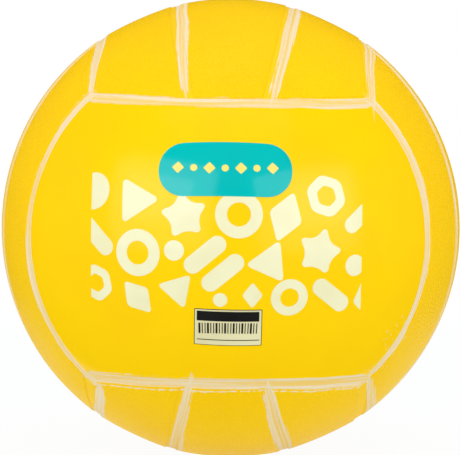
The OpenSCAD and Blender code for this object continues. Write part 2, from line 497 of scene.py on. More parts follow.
@dataclass(frozen=True)
class BrushWork:
    """Cream paint brushed along the seams by hand, in streaks that split and run past the corners.

    Lengths are millimetres. A run is a stretch along a stroke, and a span is where a slope starts
    and ends.
    """

    layout: CoverLayout
    seed_steps: Span = (3.7, 8.3)
    drift: float = 1.8
    drift_run: float = 26.0
    swell: float = 1.6
    swell_layer: float = 9.0
    bristle_pitch: float = 0.95
    bristle_run: float = 70.0
    bristle_depth: float = 2.6
    ragged_scale: float = 0.7
    ragged_run: float = 2.4
    ragged_thick: float = 0.25
    uneven_load: float = 0.5
    narrow_span: Span = (-50.0, -2.0)
    edge_soft: float = 0.396774
    edge_slope: float = 0.62
    taper_end: float = 3.0
    split_lead: float = 0.12
    end_span: Span = (1.5, 4.0)
    cover_span: Span = (0.0, 0.22)
    fullness: float = 0.45
    ridge_place: float = 0.72
    ridge_span: Span = (0.1, 0.8)
    ridge_thick: float = 0.3
    stray_sway: float = 0.9
    stray_ragged: float = 2.2
    stray_swell: float = 0.8
    stray_span: Span = (0.15, 0.45)
    stray_end: Span = (-4.0, -1.0)
    stray_thick: float = 0.9
    spatter: tuple[float, float, float] = (0.705, -0.595, -0.385)
    spatter_span: Span = (7.0, 18.0)
    spatter_fade: float = 0.3
    fleck_scale: tuple[float, float, float] = (80.0, 80.0, 45.0)
    fleck_span: Span = (0.63, 0.73)
    fleck_cover: float = 0.75
    fleck_thick: float = 0.6

    @property
    def radius_mm(self) -> float:
        """The ball's radius in millimetres."""
        return self.layout.radius / MM

    def strokes(self) -> list[Stroke]:
        """The five families that cover every seam."""
        seams = self.layout
        band_slips = (Slip(1, 1, shift=1.8, rise=(-40.0, 0.0)),)
        corner_slips = (
            Slip(1, 1, shift=2.4, rise=(-61.0, -40.0), fall=(-42.0, 4.0), overrun=4.5),
            Slip(-1, -1, shift=1.3, thin=0.4, full=0.2),
            Slip(-1, -1, shift=4.9, rise=(-30.0, 5.0)),
            Slip(1, -1, shift=4.7, fall=(-40.0, 24.0), thin=1.5),
        )
        edge_slips = (
            Slip(-1, -1, overrun=4.0),
            Slip(1, -1, rise=(-60.0, -35.0), thin=-0.2, overrun=-3.0, full=0.35),
        )
        seam_slips = (
            Slip(-1, -1, shift=0.5, thin=0.6, overrun=3.0),
            Slip(-1, 1, shift=1.9, fall=(-60.0, -15.0), thin=0.9),
            Slip(-1, 1, shift=-1.6, rise=(-45.0, 0.0)),
            Slip(1, 1, shift=0.9, thin=0.3),
        )
        rim_run = (-70.0, -35.0)
        rim_slips = (Slip(1, 1, shift=-1.5, rise=rim_run), Slip(-1, 1, shift=0.9, rise=rim_run))
        band = Stroke(seams.far_end, 0, (1, 2), 2.6, 0.3, 3.0, 3.0, stray=1.5, slips=band_slips)
        corner = Stroke(
            seams.side, 1, (0, 2), 3.5, 0.7, 6.0, 17.0, None, 1.2, 9.0, lean=0.9, slips=corner_slips
        )
        edge = Stroke(seams.next_side, 2, (0, 1), 2.2, 0.0, 3.0, 31.0, slips=edge_slips)
        strip = Stroke(
            seams.strip_seam, 1, (0, 2), 3.2, 0.2, 9.0, 47.0, seams.far_end, 1.1, 22.0,
            lean=1.2, slips=seam_slips,
        )
        rim = Stroke(
            seams.next_strip_seam, 2, (0, 1), 2.9, 0.0, 9.0, 61.0, seams.side, 1.0, 22.0,
            offset=1.2, slips=rim_slips,
        )
        return [band, corner, edge, strip, rim]

    def lay(self, bench: NodeBench) -> tuple[Wire, Wire]:
        """Lays all the strokes.

        Args:
            bench: The bench of the material.

        Returns:
            How much of the ground is covered, and how thick the paint is, from 0 to 1.
        """
        way = bench.vector("NORMALIZE", bench.place())
        folded = bench.vector("ABSOLUTE", way)
        x = bench.node("ShaderNodeSeparateXYZ", None, {0: way})
        axes = [x, x.output(1), x.output(2)]
        covered, thick = None, None
        for stroke in self.strokes():
            cover, paint = self._lay_one(bench, stroke, folded, axes)
            covered = cover if covered is None else covered.at_least(cover)
            thick = paint if thick is None else thick.at_least(paint)
        flecks = self._flecks(bench, way)
        return covered.at_least(flecks), thick.at_least(flecks * self.fleck_thick)

    def _flecks(self, bench: NodeBench, way: Wire) -> Wire:
        """The few flecks that flew off the brush beside one edge of the front panel."""
        away = bench.vector("DISTANCE", way, self.spatter, output="Value") * self.radius_mm
        spots = bench.noise(bench.vector("MULTIPLY", way, self.fleck_scale), detail=1.0)
        near = spots - away.rise(*self.spatter_span) * self.spatter_fade
        return near.rise(*self.fleck_span) * self.fleck_cover

    def _angle_from(self, bench: NodeBench, folded: Wire, circle: Circle) -> Wire:
        """How far outside a circle the surface lies, in millimetres along it."""
        cosine = bench.vector("DOT_PRODUCT", folded, circle.axis, output="Value")
        return (cosine.arccos() - circle.spread) * self.radius_mm

    def _lay_one(
        self, bench: NodeBench, stroke: Stroke, folded: Wire, axes: list[Wire]
    ) -> tuple[Wire, Wire]:
        """Lays one family of strokes.

        Args:
            bench: The bench of the material.
            stroke: The family.
            folded: The direction of the surface, mirrored into the first corner.
            axes: The true direction's three values.

        Returns:
            The family's coverage and thickness.
        """
        run = axes[stroke.along] * self.radius_mm
        first, second = (axes[side].sign() for side in stroke.sides)
        seed = first * self.seed_steps[0] + second * self.seed_steps[1] + stroke.seed
        slow = run * (1 / self.drift_run)
        drift = bench.noise(bench.point(slow, seed, 0.0)) - 0.5
        swell = bench.noise(bench.point(slow, seed, self.swell_layer)) - 0.5
        across = self._angle_from(bench, folded, stroke.circle) + drift * self.drift - stroke.offset
        low = (1 - axes[2].sign()) * 0.5
        if stroke.stop is None:
            past = abs(run) - self.radius_mm / sqrt(3)
        else:
            past = self._angle_from(bench, folded, stroke.stop)
        if stroke.lean:
            across = across + first * stroke.lean
        thinner, fuller = 0.0, self.fullness
        for slip in stroke.slips:
            here = (axes[0].sign() * slip.x + 1) * (axes[2].sign() * slip.z + 1) * 0.25
            here = here * past.rise(*slip.rise)
            if slip.shift:
                across = across + first * here * (1 - past.rise(*slip.fall)) * slip.shift
            if slip.thin:
                thinner = here * slip.thin + thinner
            if slip.full:
                fuller = here * slip.full + fuller
            if slip.overrun:
                past = past - here * slip.overrun
        streaks = bench.point(across * (1 / self.bristle_pitch), run * (1 / self.bristle_run), seed)
        bristle = bench.noise(streaks, detail=3.0) - 0.5
        tears = bench.point(across * self.ragged_scale, run * (1 / self.ragged_run), seed)
        ragged = bench.noise(tears) - 0.5
        upper = stroke.half_w - stroke.bias
        half = low * (2 * stroke.bias) + swell * self.swell + upper - thinner
        if stroke.narrow:
            half = half - past.rise(*self.narrow_span) * stroke.narrow
        streak = bristle * self.bristle_depth
        load = (half + self.edge_soft - abs(across)) * self.edge_slope + streak
        load = load + (ragged + swell) * self.uneven_load - past.rise(-stroke.taper, self.taper_end)
        ends = 1 - (past + (self.split_lead - bristle) * stroke.split).rise(*self.end_span)
        cover = load.rise(*self.cover_span) * ends
        ridge = 1 - abs(abs(across) - half * self.ridge_place).rise(*self.ridge_span)
        thick = cover * (streak + ragged * self.ragged_thick + fuller + ridge * self.ridge_thick)
        if stroke.stray:
            hair = abs(across + half + stroke.stray + swell * self.stray_sway)
            hair = hair + ragged * self.stray_ragged - swell * self.stray_swell
            line = (1 - hair.rise(*self.stray_span)) * low * (1 - past.rise(*self.stray_end))
            cover = cover.at_least(line)
            thick = thick.at_least(line * self.stray_thick)
        return cover, thick


@dataclass(frozen=True)
class CoverFinish(Finish):
    """Glossy yellow moulded rubber, with the brushed paint where it laps over a panel.

    grain is how deep the moulded grain is, from 0 for a smooth panel to 1, and gloss the roughness
    of the bare rubber. The creases of the grain get a deeper yellow, which is painted shade.
    """

    brush: BrushWork
    grain: float
    gloss: float
    yellow: Colour = screen(255, 208, 0)
    deep_yellow: Colour = screen(253, 204, 0)
    # Painted shade: the deeper yellow of the creases between the grain's mounds.
    shaded_crease_yellow: Colour = screen(246, 193, 0)
    thin_paint: Colour = screen(243, 205, 112)
    full_paint: Colour = screen(238, 220, 186)
    specular: float = 0.14
    grain_dulls: float = 0.65
    paint_roughness: float = 0.62
    paint_span: Span = (0.15, 0.85)
    paint_height: float = 0.9
    cloud_scale: float = 22.0
    cloud_span: Span = (0.35, 0.7)
    cloud_sheen: float = 0.08
    pebble_pitch: float = 1.7 * MM
    pebble_sway: float = 0.6
    sway_scale: float = 0.35
    crease_span: Span = (0.0, 0.24)
    # How much of the painted crease shade the creases get, at full grain.
    crease_shade_share: float = 0.3
    crease_sheen: float = 0.15
    paint_fills: float = 0.7
    relief: float = 0.1 * MM

    def looks(self, bench: NodeBench, place: Wire) -> Looks:
        """The rubber, its grain with painted shade in the creases, and the paint over both."""
        covered, thick = self.brush.lay(bench)
        cloud = bench.noise(place, self.cloud_scale, detail=3.0)
        ground = bench.blend(cloud.rise(*self.cloud_span), self.yellow, self.deep_yellow)
        paint = bench.blend(thick.rise(*self.paint_span), self.thin_paint, self.full_paint)
        sheen = (cloud - 0.5) * self.cloud_sheen + self.gloss
        height = thick * self.paint_height
        if self.grain:
            mounds = self.pebbles(bench, place)
            creases = 1 - mounds
            # Painted shade: the creases of the grain turn a deeper yellow, as if in shadow.
            painted_shade = creases * (self.crease_shade_share * self.grain)
            ground = bench.blend(painted_shade, ground, self.shaded_crease_yellow)
            sheen = sheen + creases * (self.crease_sheen * self.grain)
            height = height + mounds * self.grain * (1 - covered * self.paint_fills)
        colour = bench.blend(covered, ground, paint)
        roughness = sheen + covered * (self.paint_roughness - self.gloss)
        specular = self.specular * (1 - self.grain_dulls * self.grain)
        return colour, roughness, bench.bump(height, self.relief), specular

    def pebbles(self, bench: NodeBench, place: Wire) -> Wire:
        """The moulded grain: small uneven mounds, 0 in the creases between them and 1 on top."""
        inputs = {"Vector": place, "Scale": self.sway_scale / self.pebble_pitch}
        sway = bench.node("ShaderNodeTexNoise", None, inputs, 1)
        reach = (self.pebble_sway * self.pebble_pitch,) * 3
        shifted = bench.vector("MULTIPLY_ADD", sway, reach, place)
        settings = {"feature": "DISTANCE_TO_EDGE"}
        inputs = {"Vector": shifted, "Scale": 1 / self.pebble_pitch}
        edge = bench.node("ShaderNodeTexVoronoi", settings, inputs, "Distance")
        return edge.rise(*self.crease_span)


@dataclass(frozen=True)
class PrintFinish(Finish):
    """Screen-printed ink on the front panel: even, a little cloudy, as glossy as the panel."""

    ink: Colour
    thin_ink: Colour
    roughness: float = 0.1
    specular: float = 0.2
    cloud_scale: float = 60.0
    cloud_span: Span = (0.3, 0.75)
    cloud_sheen: float = 0.08
    mesh_scale: float = 1600.0
    relief: float = 0.004 * MM

    def looks(self, bench: NodeBench, place: Wire) -> Looks:
        """The ink, and the weave of the screen in it."""
        cloud = bench.noise(place, self.cloud_scale, detail=3.0)
        colour = bench.blend(cloud.rise(*self.cloud_span), self.ink, self.thin_ink)
        roughness = self.roughness + (cloud - 0.5) * self.cloud_sheen
        weave = bench.noise(place, self.mesh_scale, detail=1.0)
        return colour, roughness, bench.bump(weave, self.relief), self.specular


@dataclass(frozen=True)
class RubberFinish(Finish):
    """Moulded dark rubber with a fine matt skin and a dusting of wear."""

    rubber: Colour
    worn: Colour
    roughness: float = 0.55
    specular: float = 0.4
    skin_scale: float = 1400.0
    relief: float = 0.03 * MM
    dust_scale: float = 240.0
    dust_span: Span = (0.55, 0.8)
    dust_tint: float = 0.6
    dust_sheen: float = 0.2

    def looks(self, bench: NodeBench, place: Wire) -> Looks:
        """The rubber, its skin, and the dust on it."""
        dust = bench.noise(place, self.dust_scale, detail=4.0).rise(*self.dust_span)
        colour = bench.blend(dust * self.dust_tint, self.rubber, self.worn)
        roughness = self.roughness + dust * self.dust_sheen
        skin = bench.noise(place, self.skin_scale, detail=3.0)
        return colour, roughness, bench.bump(skin, self.relief), self.specular


@dataclass(frozen=True)
class ThreadFinish(Finish):
    """Wound white thread set in latex: fine turns that cross at three angles."""

    thread: Colour = screen(229, 228, 220)
    latex: Colour = screen(196, 190, 172)
    pitch: float = 0.6 * MM
    axes: tuple[tuple[float, float, float], ...] = ((1, 0.3, 0.2), (0.2, 1, 0.4), (0.3, 0.2, 1))
    groove_span: Span = (0.4, 1.0)
    relief: float = 0.15 * MM
    latex_roughness: float = 0.85
    thread_sheen: float = 0.15
    specular: float = 0.5

    def looks(self, bench: NodeBench, place: Wire) -> Looks:
        """The turns of thread, and the latex between them."""
        turns = None
        for axis in self.axes:
            along = bench.vector("DOT_PRODUCT", place, Vector(axis).normalized(), output="Value")
            turn = (along * (2 * pi / self.pitch)).sine() * 0.5 + 0.5
            turns = turn if turns is None else turns.at_least(turn)
        height = turns.rise(*self.groove_span)
        colour = bench.blend(height, self.latex, self.thread)
        roughness = self.latex_roughness - height * self.thread_sheen
        return colour, roughness, bench.bump(height, self.relief), self.specular


# Sub-assemblies


def settle(piece: Piece, slot: str, finish: Material, *nodes: str) -> None:
    """Gives a finished piece its material and its body, and hides the nodes that it stands for.

    Args:
        piece: The piece.
        slot: The record's material slot, which is not used.
        finish: Its material.
        nodes: The nodes that it replaces.
    """
    piece.data.materials.clear()
    piece.data.materials.append(finish)
    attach(piece, BODY)
    if nodes:
        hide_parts(*nodes)
    LOG.info("%s: %d faces", piece.name, len(piece.data.polygons))


@dataclass
class Cover:
    """The fourteen cover panels: two large faces, and four faces of three strips each."""

    layout: CoverLayout
    brush: BrushWork
    edge_r: float = 0.8 * MM
    edge_steps: int = 4
    edge_angle: float = radians(50)
    long_cells: int = 64
    strip_cells: int = 20
    crown_drop: float = 0.45 * MM
    crown_run: float = radians(14)
    skin_slack: float = 0.02 * MM
    sides: tuple[tuple[Face, str, str, str], ...] = (
        (Face.TOP, "top", "left", "right"),
        (Face.BOTTOM, "bottom", "left", "right"),
        (Face.RIGHT, "right", "front", "back"),
        (Face.LEFT, "left", "back", "front"),
    )

    def build(self) -> None:
        """Models the three panels of a face and copies them to every face."""
        smooth_rubber = CoverFinish(self.brush, grain=0.0, gloss=0.17).material("cover_smooth")
        grained_rubber = CoverFinish(self.brush, grain=1.0, gloss=0.34).material("cover_grained")
        seams, gap = self.layout, self.layout.half_channel
        north, east = seams.far_end.wider(-gap), seams.side.wider(gap)
        south = north.flipped(1, -1)
        inner = seams.strip_seam.wider(gap)
        outer_sides = (east, north, seams.strip_seam.wider(-gap), south)
        face = self.panel("face_master", (east, north, east.flipped(-1, 1), south), self.long_cells)
        middle_sides = (inner, north, inner.flipped(-1, 1), south)
        middle = self.panel("middle_master", middle_sides, self.strip_cells)
        outer = self.panel("outer_master", outer_sides, self.strip_cells)
        self.flatten(outer, outer_sides)
        for place, name in ((Face.FRONT, "front"), (Face.BACK, "back")):
            copy = turned_copy(face, f"{name}_cover", place.turn)
            settle(copy, "cover", smooth_rubber, f"{name}_panel")
        for place, name, turned_side, plain_side in self.sides:
            for master, side, turn in (
                (middle, "middle", place.turn),
                (outer, plain_side, place.turn),
                (outer, turned_side, place.turn @ HALF_TURN),
            ):
                copy = turned_copy(master, f"{name}_{side}_cover", turn)
                if (place, side) == (Face.TOP, "middle"):
                    cut_through(copy, VALVE_HOLE_R, self.layout.radius)
                settle(copy, "cover", grained_rubber, f"{name}_{side}_strip")
        for master in (face, middle, outer):
            discard(master)

    def panel(self, name: str, sides: tuple[Circle, ...], cells: int) -> Piece:
        """Models one panel of the top face: four arcs, a skin, a wall and a rolled edge.

        Args:
            name: The panel's name.
            sides: The circles at its +X, +Y, -X and -Y sides.
            cells: How many faces it has from side to side.

        Returns:
            The panel.
        """
        east, north, west, south = sides
        up, down = Vector((0, 1, 1)), Vector((0, -1, 1))
        corners = [south.meets(east, down), east.meets(north, up)]
        corners += [north.meets(west, up), west.meets(south, down)]
        bpy.ops.mesh.primitive_plane_add(size=self.edge_r)
        piece = named(name)
        with editing(piece):
            bpy.ops.mesh.merge(type="CENTER")
            bpy.ops.transform.translate(value=corners[0] * self.layout.radius)
            counts = (self.long_cells, cells, self.long_cells, cells)
            for circle, start, end, steps in zip(sides, corners, corners[1:] + corners[:1], counts):
                spin(circle, start, end, steps)
            bpy.ops.mesh.select_all(action="SELECT")
            bpy.ops.mesh.remove_doubles(threshold=self.edge_r / 100)
            self.start_grid_at(piece, corners[0])
            bpy.ops.mesh.fill_grid(span=cells, offset=0)
            bpy.ops.mesh.select_all(action="SELECT")
            bpy.ops.mesh.normals_make_consistent(inside=False)
        round_out(piece, self.layout.radius)
        thicken(piece, self.layout.panel_t)
        self.roll_edges(piece)
        smooth(piece)
        return piece

    def start_grid_at(self, piece: Piece, corner: Vector) -> None:
        """Makes the outline's point at a corner the active one, where a grid starts."""
        shape = bmesh.from_edit_mesh(piece.data)
        start = min(shape.verts, key=lambda v: (v.co - corner * self.layout.radius).length)
        shape.select_history.clear()
        shape.select_history.add(start)
        bmesh.update_edit_mesh(piece.data)

    def roll_edges(self, piece: Piece) -> None:
        """Rolls the outer edge of a panel over."""
        shell = self.layout.radius - self.layout.panel_t / 4
        with editing(piece):
            bpy.ops.mesh.select_mode(type="EDGE")
            bpy.ops.mesh.select_all(action="DESELECT")
            bpy.ops.mesh.edges_select_sharp(sharpness=self.edge_angle)
            shape = bmesh.from_edit_mesh(piece.data)
            sharp = [edge for edge in shape.edges if edge.select]
            rolled = {edge for edge in sharp if min(v.co.length for v in edge.verts) > shell}
            for edge in shape.edges:
                edge.select_set(edge in rolled)
            bmesh.update_edit_mesh(piece.data)
            bpy.ops.mesh.bevel(
                offset=self.edge_r, segments=self.edge_steps, affect="EDGES", profile=0.5
            )

    def flatten(self, piece: Piece, sides: tuple[Circle, ...]) -> None:
        """Lowers the crown of an outer strip, which lies nearly flat from seam to seam.

        Args:
            piece: The strip of the top face.
            sides: The circles at its +X, +Y, -X and -Y sides.
        """
        east, north, west, south = sides
        crown = piece.vertex_groups.new(name="crown")
        for vertex in piece.data.vertices:
            if vertex.co.length < self.layout.radius - self.skin_slack:
                continue
            near, far = max(0.0, east.away(vertex.co)), max(0.0, -west.away(vertex.co))
            inside = max(0.0, min(-north.away(vertex.co), -south.away(vertex.co)))
            ends = min(1.0, inside / self.crown_run)
            share = 4 * near * far / max(1e-9, (near + far) ** 2)
            crown.add([vertex.index], share * ends * ends * (3 - 2 * ends), "REPLACE")
        drop = {"strength": -self.crown_drop, "mid_level": 0.0, "direction": "NORMAL"}
        finish_with(piece, "DISPLACE", vertex_group=crown.name, **drop)


def spin(circle: Circle, start: Vector, end: Vector, steps: int) -> None:
    """Spins what is selected in edit mode along a circle, from one direction to another."""
    angle = -circle.turn(start, end)
    bpy.ops.mesh.spin(steps=steps, angle=angle, center=(0, 0, 0), axis=circle.axis)


def cut_through(piece: Piece, hole_r: float, height: float) -> None:
    """Cuts a round hole about the Z axis through the top of a piece.

    Args:
        piece: The piece.
        hole_r: The hole's radius.
        height: The height of the middle of the cut.
    """
    sides = 72
    weld = 0.02 * MM
    bpy.ops.mesh.primitive_cylinder_add(vertices=sides, radius=hole_r, depth=4 * hole_r)
    cutter = named("hole_cutter")
    set_down(cutter, Matrix.Translation((0, 0, height)) @ Matrix.Rotation(pi / sides, 4, "Z"))
    finish_with(piece, "BOOLEAN", operation="DIFFERENCE", object=cutter, solver="EXACT")
    discard(cutter)
    with editing(piece):
        bpy.ops.mesh.remove_doubles(threshold=weld)
        bpy.ops.mesh.dissolve_degenerate(threshold=weld)
    smooth(piece)


@dataclass
class Carcass:
    """The rubber layer under the cover, whose surface is the painted floor of the channels."""

    layout: CoverLayout
    brush: BrushWork
    thickness: float = 0.7 * MM
    bond_gap: float = 0.05 * MM
    cuts: int = 47

    def build(self) -> None:
        """Models the layer as a rounded cube with a wall, and cuts the valve's hole."""
        radius = self.layout.radius - self.layout.panel_t - self.bond_gap
        bpy.ops.mesh.primitive_cube_add(size=2 * radius)
        piece = named("carcass_layer")
        with editing(piece):
            bpy.ops.mesh.subdivide(number_cuts=self.cuts)
        round_out(piece, radius)
        thicken(piece, self.thickness)
        cut_through(piece, VALVE_HOLE_R, radius)
        finish = CoverFinish(self.brush, grain=0.6, gloss=0.45)
        settle(piece, "paint", finish.material("channel_paint"), "carcass")


@dataclass
class SeamPaint:
    """The thick paint that half fills the channels, as one bead along every seam."""

    layout: CoverLayout
    brush: BrushWork
    half_w: float = 2.2 * MM
    sunk: float = 0.45 * MM
    depth: float = 0.85 * MM
    steps: int = 48

    def build(self) -> None:
        """Models the beads of one face's end and one strip seam, and copies them to every seam."""
        seams = self.layout
        up, down = Vector((0, 1, 1)), Vector((0, -1, 1))
        left, right = Vector((-1, 1, 1)).normalized(), Vector((1, 1, 1)).normalized()
        north, seam = seams.far_end, seams.strip_seam
        edge = self.bead("edge_master", north, left, right)
        south_end = north.flipped(1, -1).meets(seam, down)
        strip = self.bead("strip_master", seam, south_end, north.meets(seam, up))
        beads = []
        for place in Face:
            for turn in (place.turn, place.turn @ HALF_TURN):
                beads.append(turned_copy(edge, "edge_bead", turn))
                if place not in (Face.FRONT, Face.BACK):
                    beads.append(turned_copy(strip, "strip_bead", turn))
        for master in (edge, strip):
            discard(master)
        piece = join_all(beads, "seam_paint")
        finish = CoverFinish(self.brush, grain=0.3, gloss=0.5)
        settle(piece, "paint", finish.material("seam_paint"))

    def bead(self, name: str, circle: Circle, start: Vector, end: Vector) -> Piece:
        """Spins a bead's flat section along a seam.

        Args:
            name: The bead's name.
            circle: The seam.
            start: The direction in which it starts.
            end: The direction in which it ends.

        Returns:
            The bead, closed at both ends.
        """
        forward = circle.axis.cross(start).normalized()
        sideways = start.cross(forward)
        bpy.ops.mesh.primitive_plane_add(size=2 * self.half_w)
        piece = named(name)
        with editing(piece):
            bpy.ops.transform.resize(value=(1, self.depth / (2 * self.half_w), 1))
        place = Matrix((sideways, start, forward)).transposed().to_4x4()
        place.translation = start * (self.layout.radius - self.sunk - self.depth / 2)
        set_down(piece, place)
        with editing(piece):
            spin(circle, start, end, self.steps)
            bpy.ops.mesh.select_all(action="SELECT")
            bpy.ops.mesh.normals_make_consistent(inside=False)
        smooth(piece)
        return piece


class Shape(Enum):
    """A printed outline: its name, its number of points, and whether it has a hole."""

    DISC = ("disc", ROUND_POINTS, False)
    RING = ("ring", ROUND_POINTS, True)
    TRIANGLE = ("triangle", 3, False)
    DIAMOND = ("diamond", 4, False)
    HEXAGON = ("hexagon", 6, True)
    STAR = ("star", 10, False)
    BAR = ("bar", 4, False)

    def __init__(self, _: str, points: int, hollow: bool) -> None:
        """Keeps what the outline is like. One of few points has corners, which are rounded off."""
        self.points = points
        self.hollow = hollow
        self.cornered = points < ROUND_POINTS


@dataclass(frozen=True)
class Mark:
    """One printed outline: its shape, its place on the front in millimetres, its size and its turn.

    x is to the right and z up from the middle of the front, as seen from straight ahead. size is
    half its width and stretch its height over its width.
    """

    shape: Shape
    x: float
    z: float
    size: float
    stretch: float = 1.0
    turn_deg: float = 0.0
    corner: float = 0.25


@dataclass
class FrontPrint:
    """The printing on the front panel: a teal label, a cream pattern and a ruled tag.

    A bar is given by its x and z, half its width and half its height. The bars of the tag are
    counted from the tag's middle.
    """

    layout: CoverLayout
    ink_t: float = 0.2 * MM
    proud: float = 0.08 * MM
    cell: float = 2.5 * MM
    cell_shift: float = 0.1 * MM
    weld: float = 0.01 * MM
    corner_steps: int = 8
    hole: float = 0.5
    star_waist: float = 0.55
    field_half_w: float = 57.4 * MM
    label_mm: Bar = (-0.5, 32.75, 29.0, 11.75)
    label_corner: float = 0.95
    label_row_mm: float = 33.0
    label_pitch_mm: float = 6.6
    label_pairs: int = 3
    diamond_mm: float = 2.6
    dot_mm: float = 1.5
    diamond_corner: float = 0.2
    tag_mm: Span = (1.35, -34.25)
    tag_tilt_deg: float = -0.6
    tag_corner: float = 0.02
    border_mm: Bar = (0.0, 0.0, 14.4, 8.45)
    card_mm: Bar = (0.0, 0.0, 14.1, 8.15)
    header_mm: Bar = (0.0, 5.05, 13.2, 2.2)
    foot_mm: Bar = (0.0, -5.35, 13.2, 0.1584)
    rule_mm: Bar = (0.0, -0.05, 0.2, 2.4)
    bold_half_mm: float = 0.4
    bold_every: int = 3
    rule_pitch_mm: float = 1.2
    rule_count: int = 21

    def label(self) -> list[Mark]:
        """The plain teal label."""
        x, z, half_w, half_h = self.label_mm
        return [Mark(Shape.BAR, x, z, half_w, half_h / half_w, corner=self.label_corner)]

    def label_marks(self) -> list[Mark]:
        """The row of small marks on the label, diamonds and discs by turns."""
        pair = ((Shape.DIAMOND, self.diamond_mm), (Shape.DISC, self.dot_mm))
        pitch, row, corner = self.label_pitch_mm, self.label_row_mm, self.diamond_corner
        left = self.label_mm[0] - self.label_pairs * pitch
        return [
            Mark(shape, left + i * pitch, row, size, corner=corner)
            for i, (shape, size) in enumerate(pair * self.label_pairs + pair[:1])
        ]

    def pattern(self) -> list[Mark]:
        """The scattered cream pattern, cut off straight at the field's edges."""
        places = {
            Shape.DISC: ((-56.5, 22, 8), (-21.5, -1.5, 4.3), (54.5, -8, 4.6), (-2, -22, 3)),
            Shape.RING: ((5.5, 14, 10), (-37, -3, 10), (27, -21, 8)),
            Shape.STAR: ((-17.5, 13.5, 11, 1, 10), (39.5, -1.5, 11, 1, -16)),
            Shape.HEXAGON: ((42, 21.5, 9.5, 1, 12), (-55, -17, 8.5, 1, 8)),
            Shape.TRIANGLE: (
                (-38.5, 19, 11.5, 1, 34),
                (18.5, -6, 10.5, 1, -24),
                (-20, -18, 9, 1, 78),
            ),
            Shape.DIAMOND: (
                (25, 13, 7.5, 1.5, -20),
                (-37, -22, 6.6, 1.35, 40),
                (11.5, -20, 4.4, 1.3, 0),
                (59, -22.5, 6, 1.4, 15),
            ),
            Shape.BAR: (
                (56.5, 12.5, 9, 0.38, 38, 1),
                (-55, 3, 10, 0.38, -42, 1),
                (-8.5, -3, 10.5, 0.36, 40, 1),
                (-1, -10.5, 10.5, 0.36, 40, 1),
                (44.5, -20.5, 10, 0.38, -36, 1),
            ),
        }
        return [Mark(shape, *values) for shape, rows in places.items() for values in rows]

    def build(self) -> None:
        """Models every part of the print and gives it its ink."""
        cream = PrintFinish(screen(241, 237, 197), screen(236, 231, 186)).material("ink_cream")
        teal = PrintFinish(screen(0, 187, 184), screen(0, 182, 180)).material("ink_teal")
        pale = PrintFinish(screen(246, 228, 124), screen(242, 222, 112)).material("ink_pale")
        black = PrintFinish(screen(24, 24, 22), screen(34, 33, 30), 0.3).material("ink_black")
        card = PrintFinish(screen(230, 224, 178), screen(222, 214, 166), 0.3).material("ink_card")
        for name, marks, layer, slot, ink in (
            ("front_pattern", self.pattern(), 0, "print_cream", cream),
            ("front_label", self.label(), 1, "print_teal", teal),
            ("front_label_marks", self.label_marks(), 2, "print_cream", pale),
            ("front_tag_border", [self.tag_bar(*self.border_mm)], 0, "print_black", black),
            ("front_tag", [self.tag_bar(*self.card_mm)], 1, "print_cream", card),
            ("front_tag_rules", self.tag_rules(), 2, "print_black", black),
        ):
            settle(join_all([self.print_mark(mark, layer) for mark in marks], name), slot, ink)

    def tag_bar(self, x: float, z: float, half_w: float, half_h: float) -> Mark:
        """A bar of the tag, by its place from the tag's middle and half its width and height."""
        x, z = self.tag_mm[0] + x, self.tag_mm[1] + z
        return Mark(Shape.BAR, x, z, half_w, half_h / half_w, self.tag_tilt_deg, self.tag_corner)

    def tag_rules(self) -> list[Mark]:
        """The dark header and the even rules of the tag, of which every third is bold."""
        middle, z, thin, half_h = self.rule_mm
        rules = []
        for number in range(self.rule_count):
            x = middle + (number - self.rule_count // 2) * self.rule_pitch_mm
            half_w = thin if number % self.bold_every else self.bold_half_mm
            rules.append(self.tag_bar(x, z, half_w, half_h))
        return [self.tag_bar(*self.header_mm), *rules, self.tag_bar(*self.foot_mm)]

    def print_mark(self, mark: Mark, layer: int) -> Piece:
        """Models one mark as a thin skin on the ball.

        Args:
            mark: The mark.
            layer: How many inks lie under it.

        Returns:
            The piece, in its place on the front panel.
        """
        piece = self.outline(mark)
        self.dice(piece)
        with editing(piece):
            bpy.ops.transform.translate(value=(0, 0, self.layout.radius))
        round_out(piece, self.layout.radius + (layer + 1) * self.proud)
        latitude = asin(mark.z * MM / self.layout.radius)
        longitude = asin(mark.x * MM / self.layout.radius / cos(latitude))
        tilt = Matrix.Rotation(pi / 2 - latitude, 4, "X")
        set_down(piece, Matrix.Rotation(longitude, 4, "Z") @ tilt)
        self.trim(piece)
        thicken(piece, self.ink_t, even=False)
        smooth(piece)
        return piece

    def trim(self, piece: Piece) -> None:
        """Cuts off what stands over the sides of the printed field."""
        with editing(piece):
            for side in (-1, 1):
                bpy.ops.mesh.select_all(action="SELECT")
                edge = Vector((side * self.field_half_w, 0, 0))
                bpy.ops.mesh.bisect(plane_co=edge, plane_no=(side, 0, 0), clear_outer=True)

    def outline(self, mark: Mark) -> Piece:
        """Models a mark flat at the origin, facing up, with round corners."""
        size = mark.size * MM
        if mark.shape is Shape.BAR:
            bpy.ops.mesh.primitive_plane_add(size=2 * size)
        else:
            fill = "NOTHING" if mark.shape.hollow else "NGON"
            points = mark.shape.points
            bpy.ops.mesh.primitive_circle_add(vertices=points, radius=size, fill_type=fill)
        piece = named("mark")
        with editing(piece):
            bpy.ops.transform.resize(value=(1, mark.stretch, 1))
            if mark.shape is Shape.STAR:
                self.pull_in(piece)
            if mark.shape.cornered:
                roll = mark.corner * size * min(1.0, mark.stretch)
                bpy.ops.mesh.bevel(
                    offset=roll, segments=self.corner_steps, affect="VERTICES", clamp_overlap=True
                )
            if mark.shape.hollow:
                bpy.ops.mesh.select_all(action="SELECT")
                bpy.ops.mesh.extrude_edges_move()
                bpy.ops.transform.resize(value=(self.hole, self.hole, 1))
            bpy.ops.mesh.select_all(action="SELECT")
            bpy.ops.mesh.remove_doubles(threshold=self.weld)
            bpy.ops.mesh.normals_make_consistent(inside=False)
        set_down(piece, Matrix.Rotation(radians(mark.turn_deg), 4, "Z"))
        self.face_up(piece)
        return piece

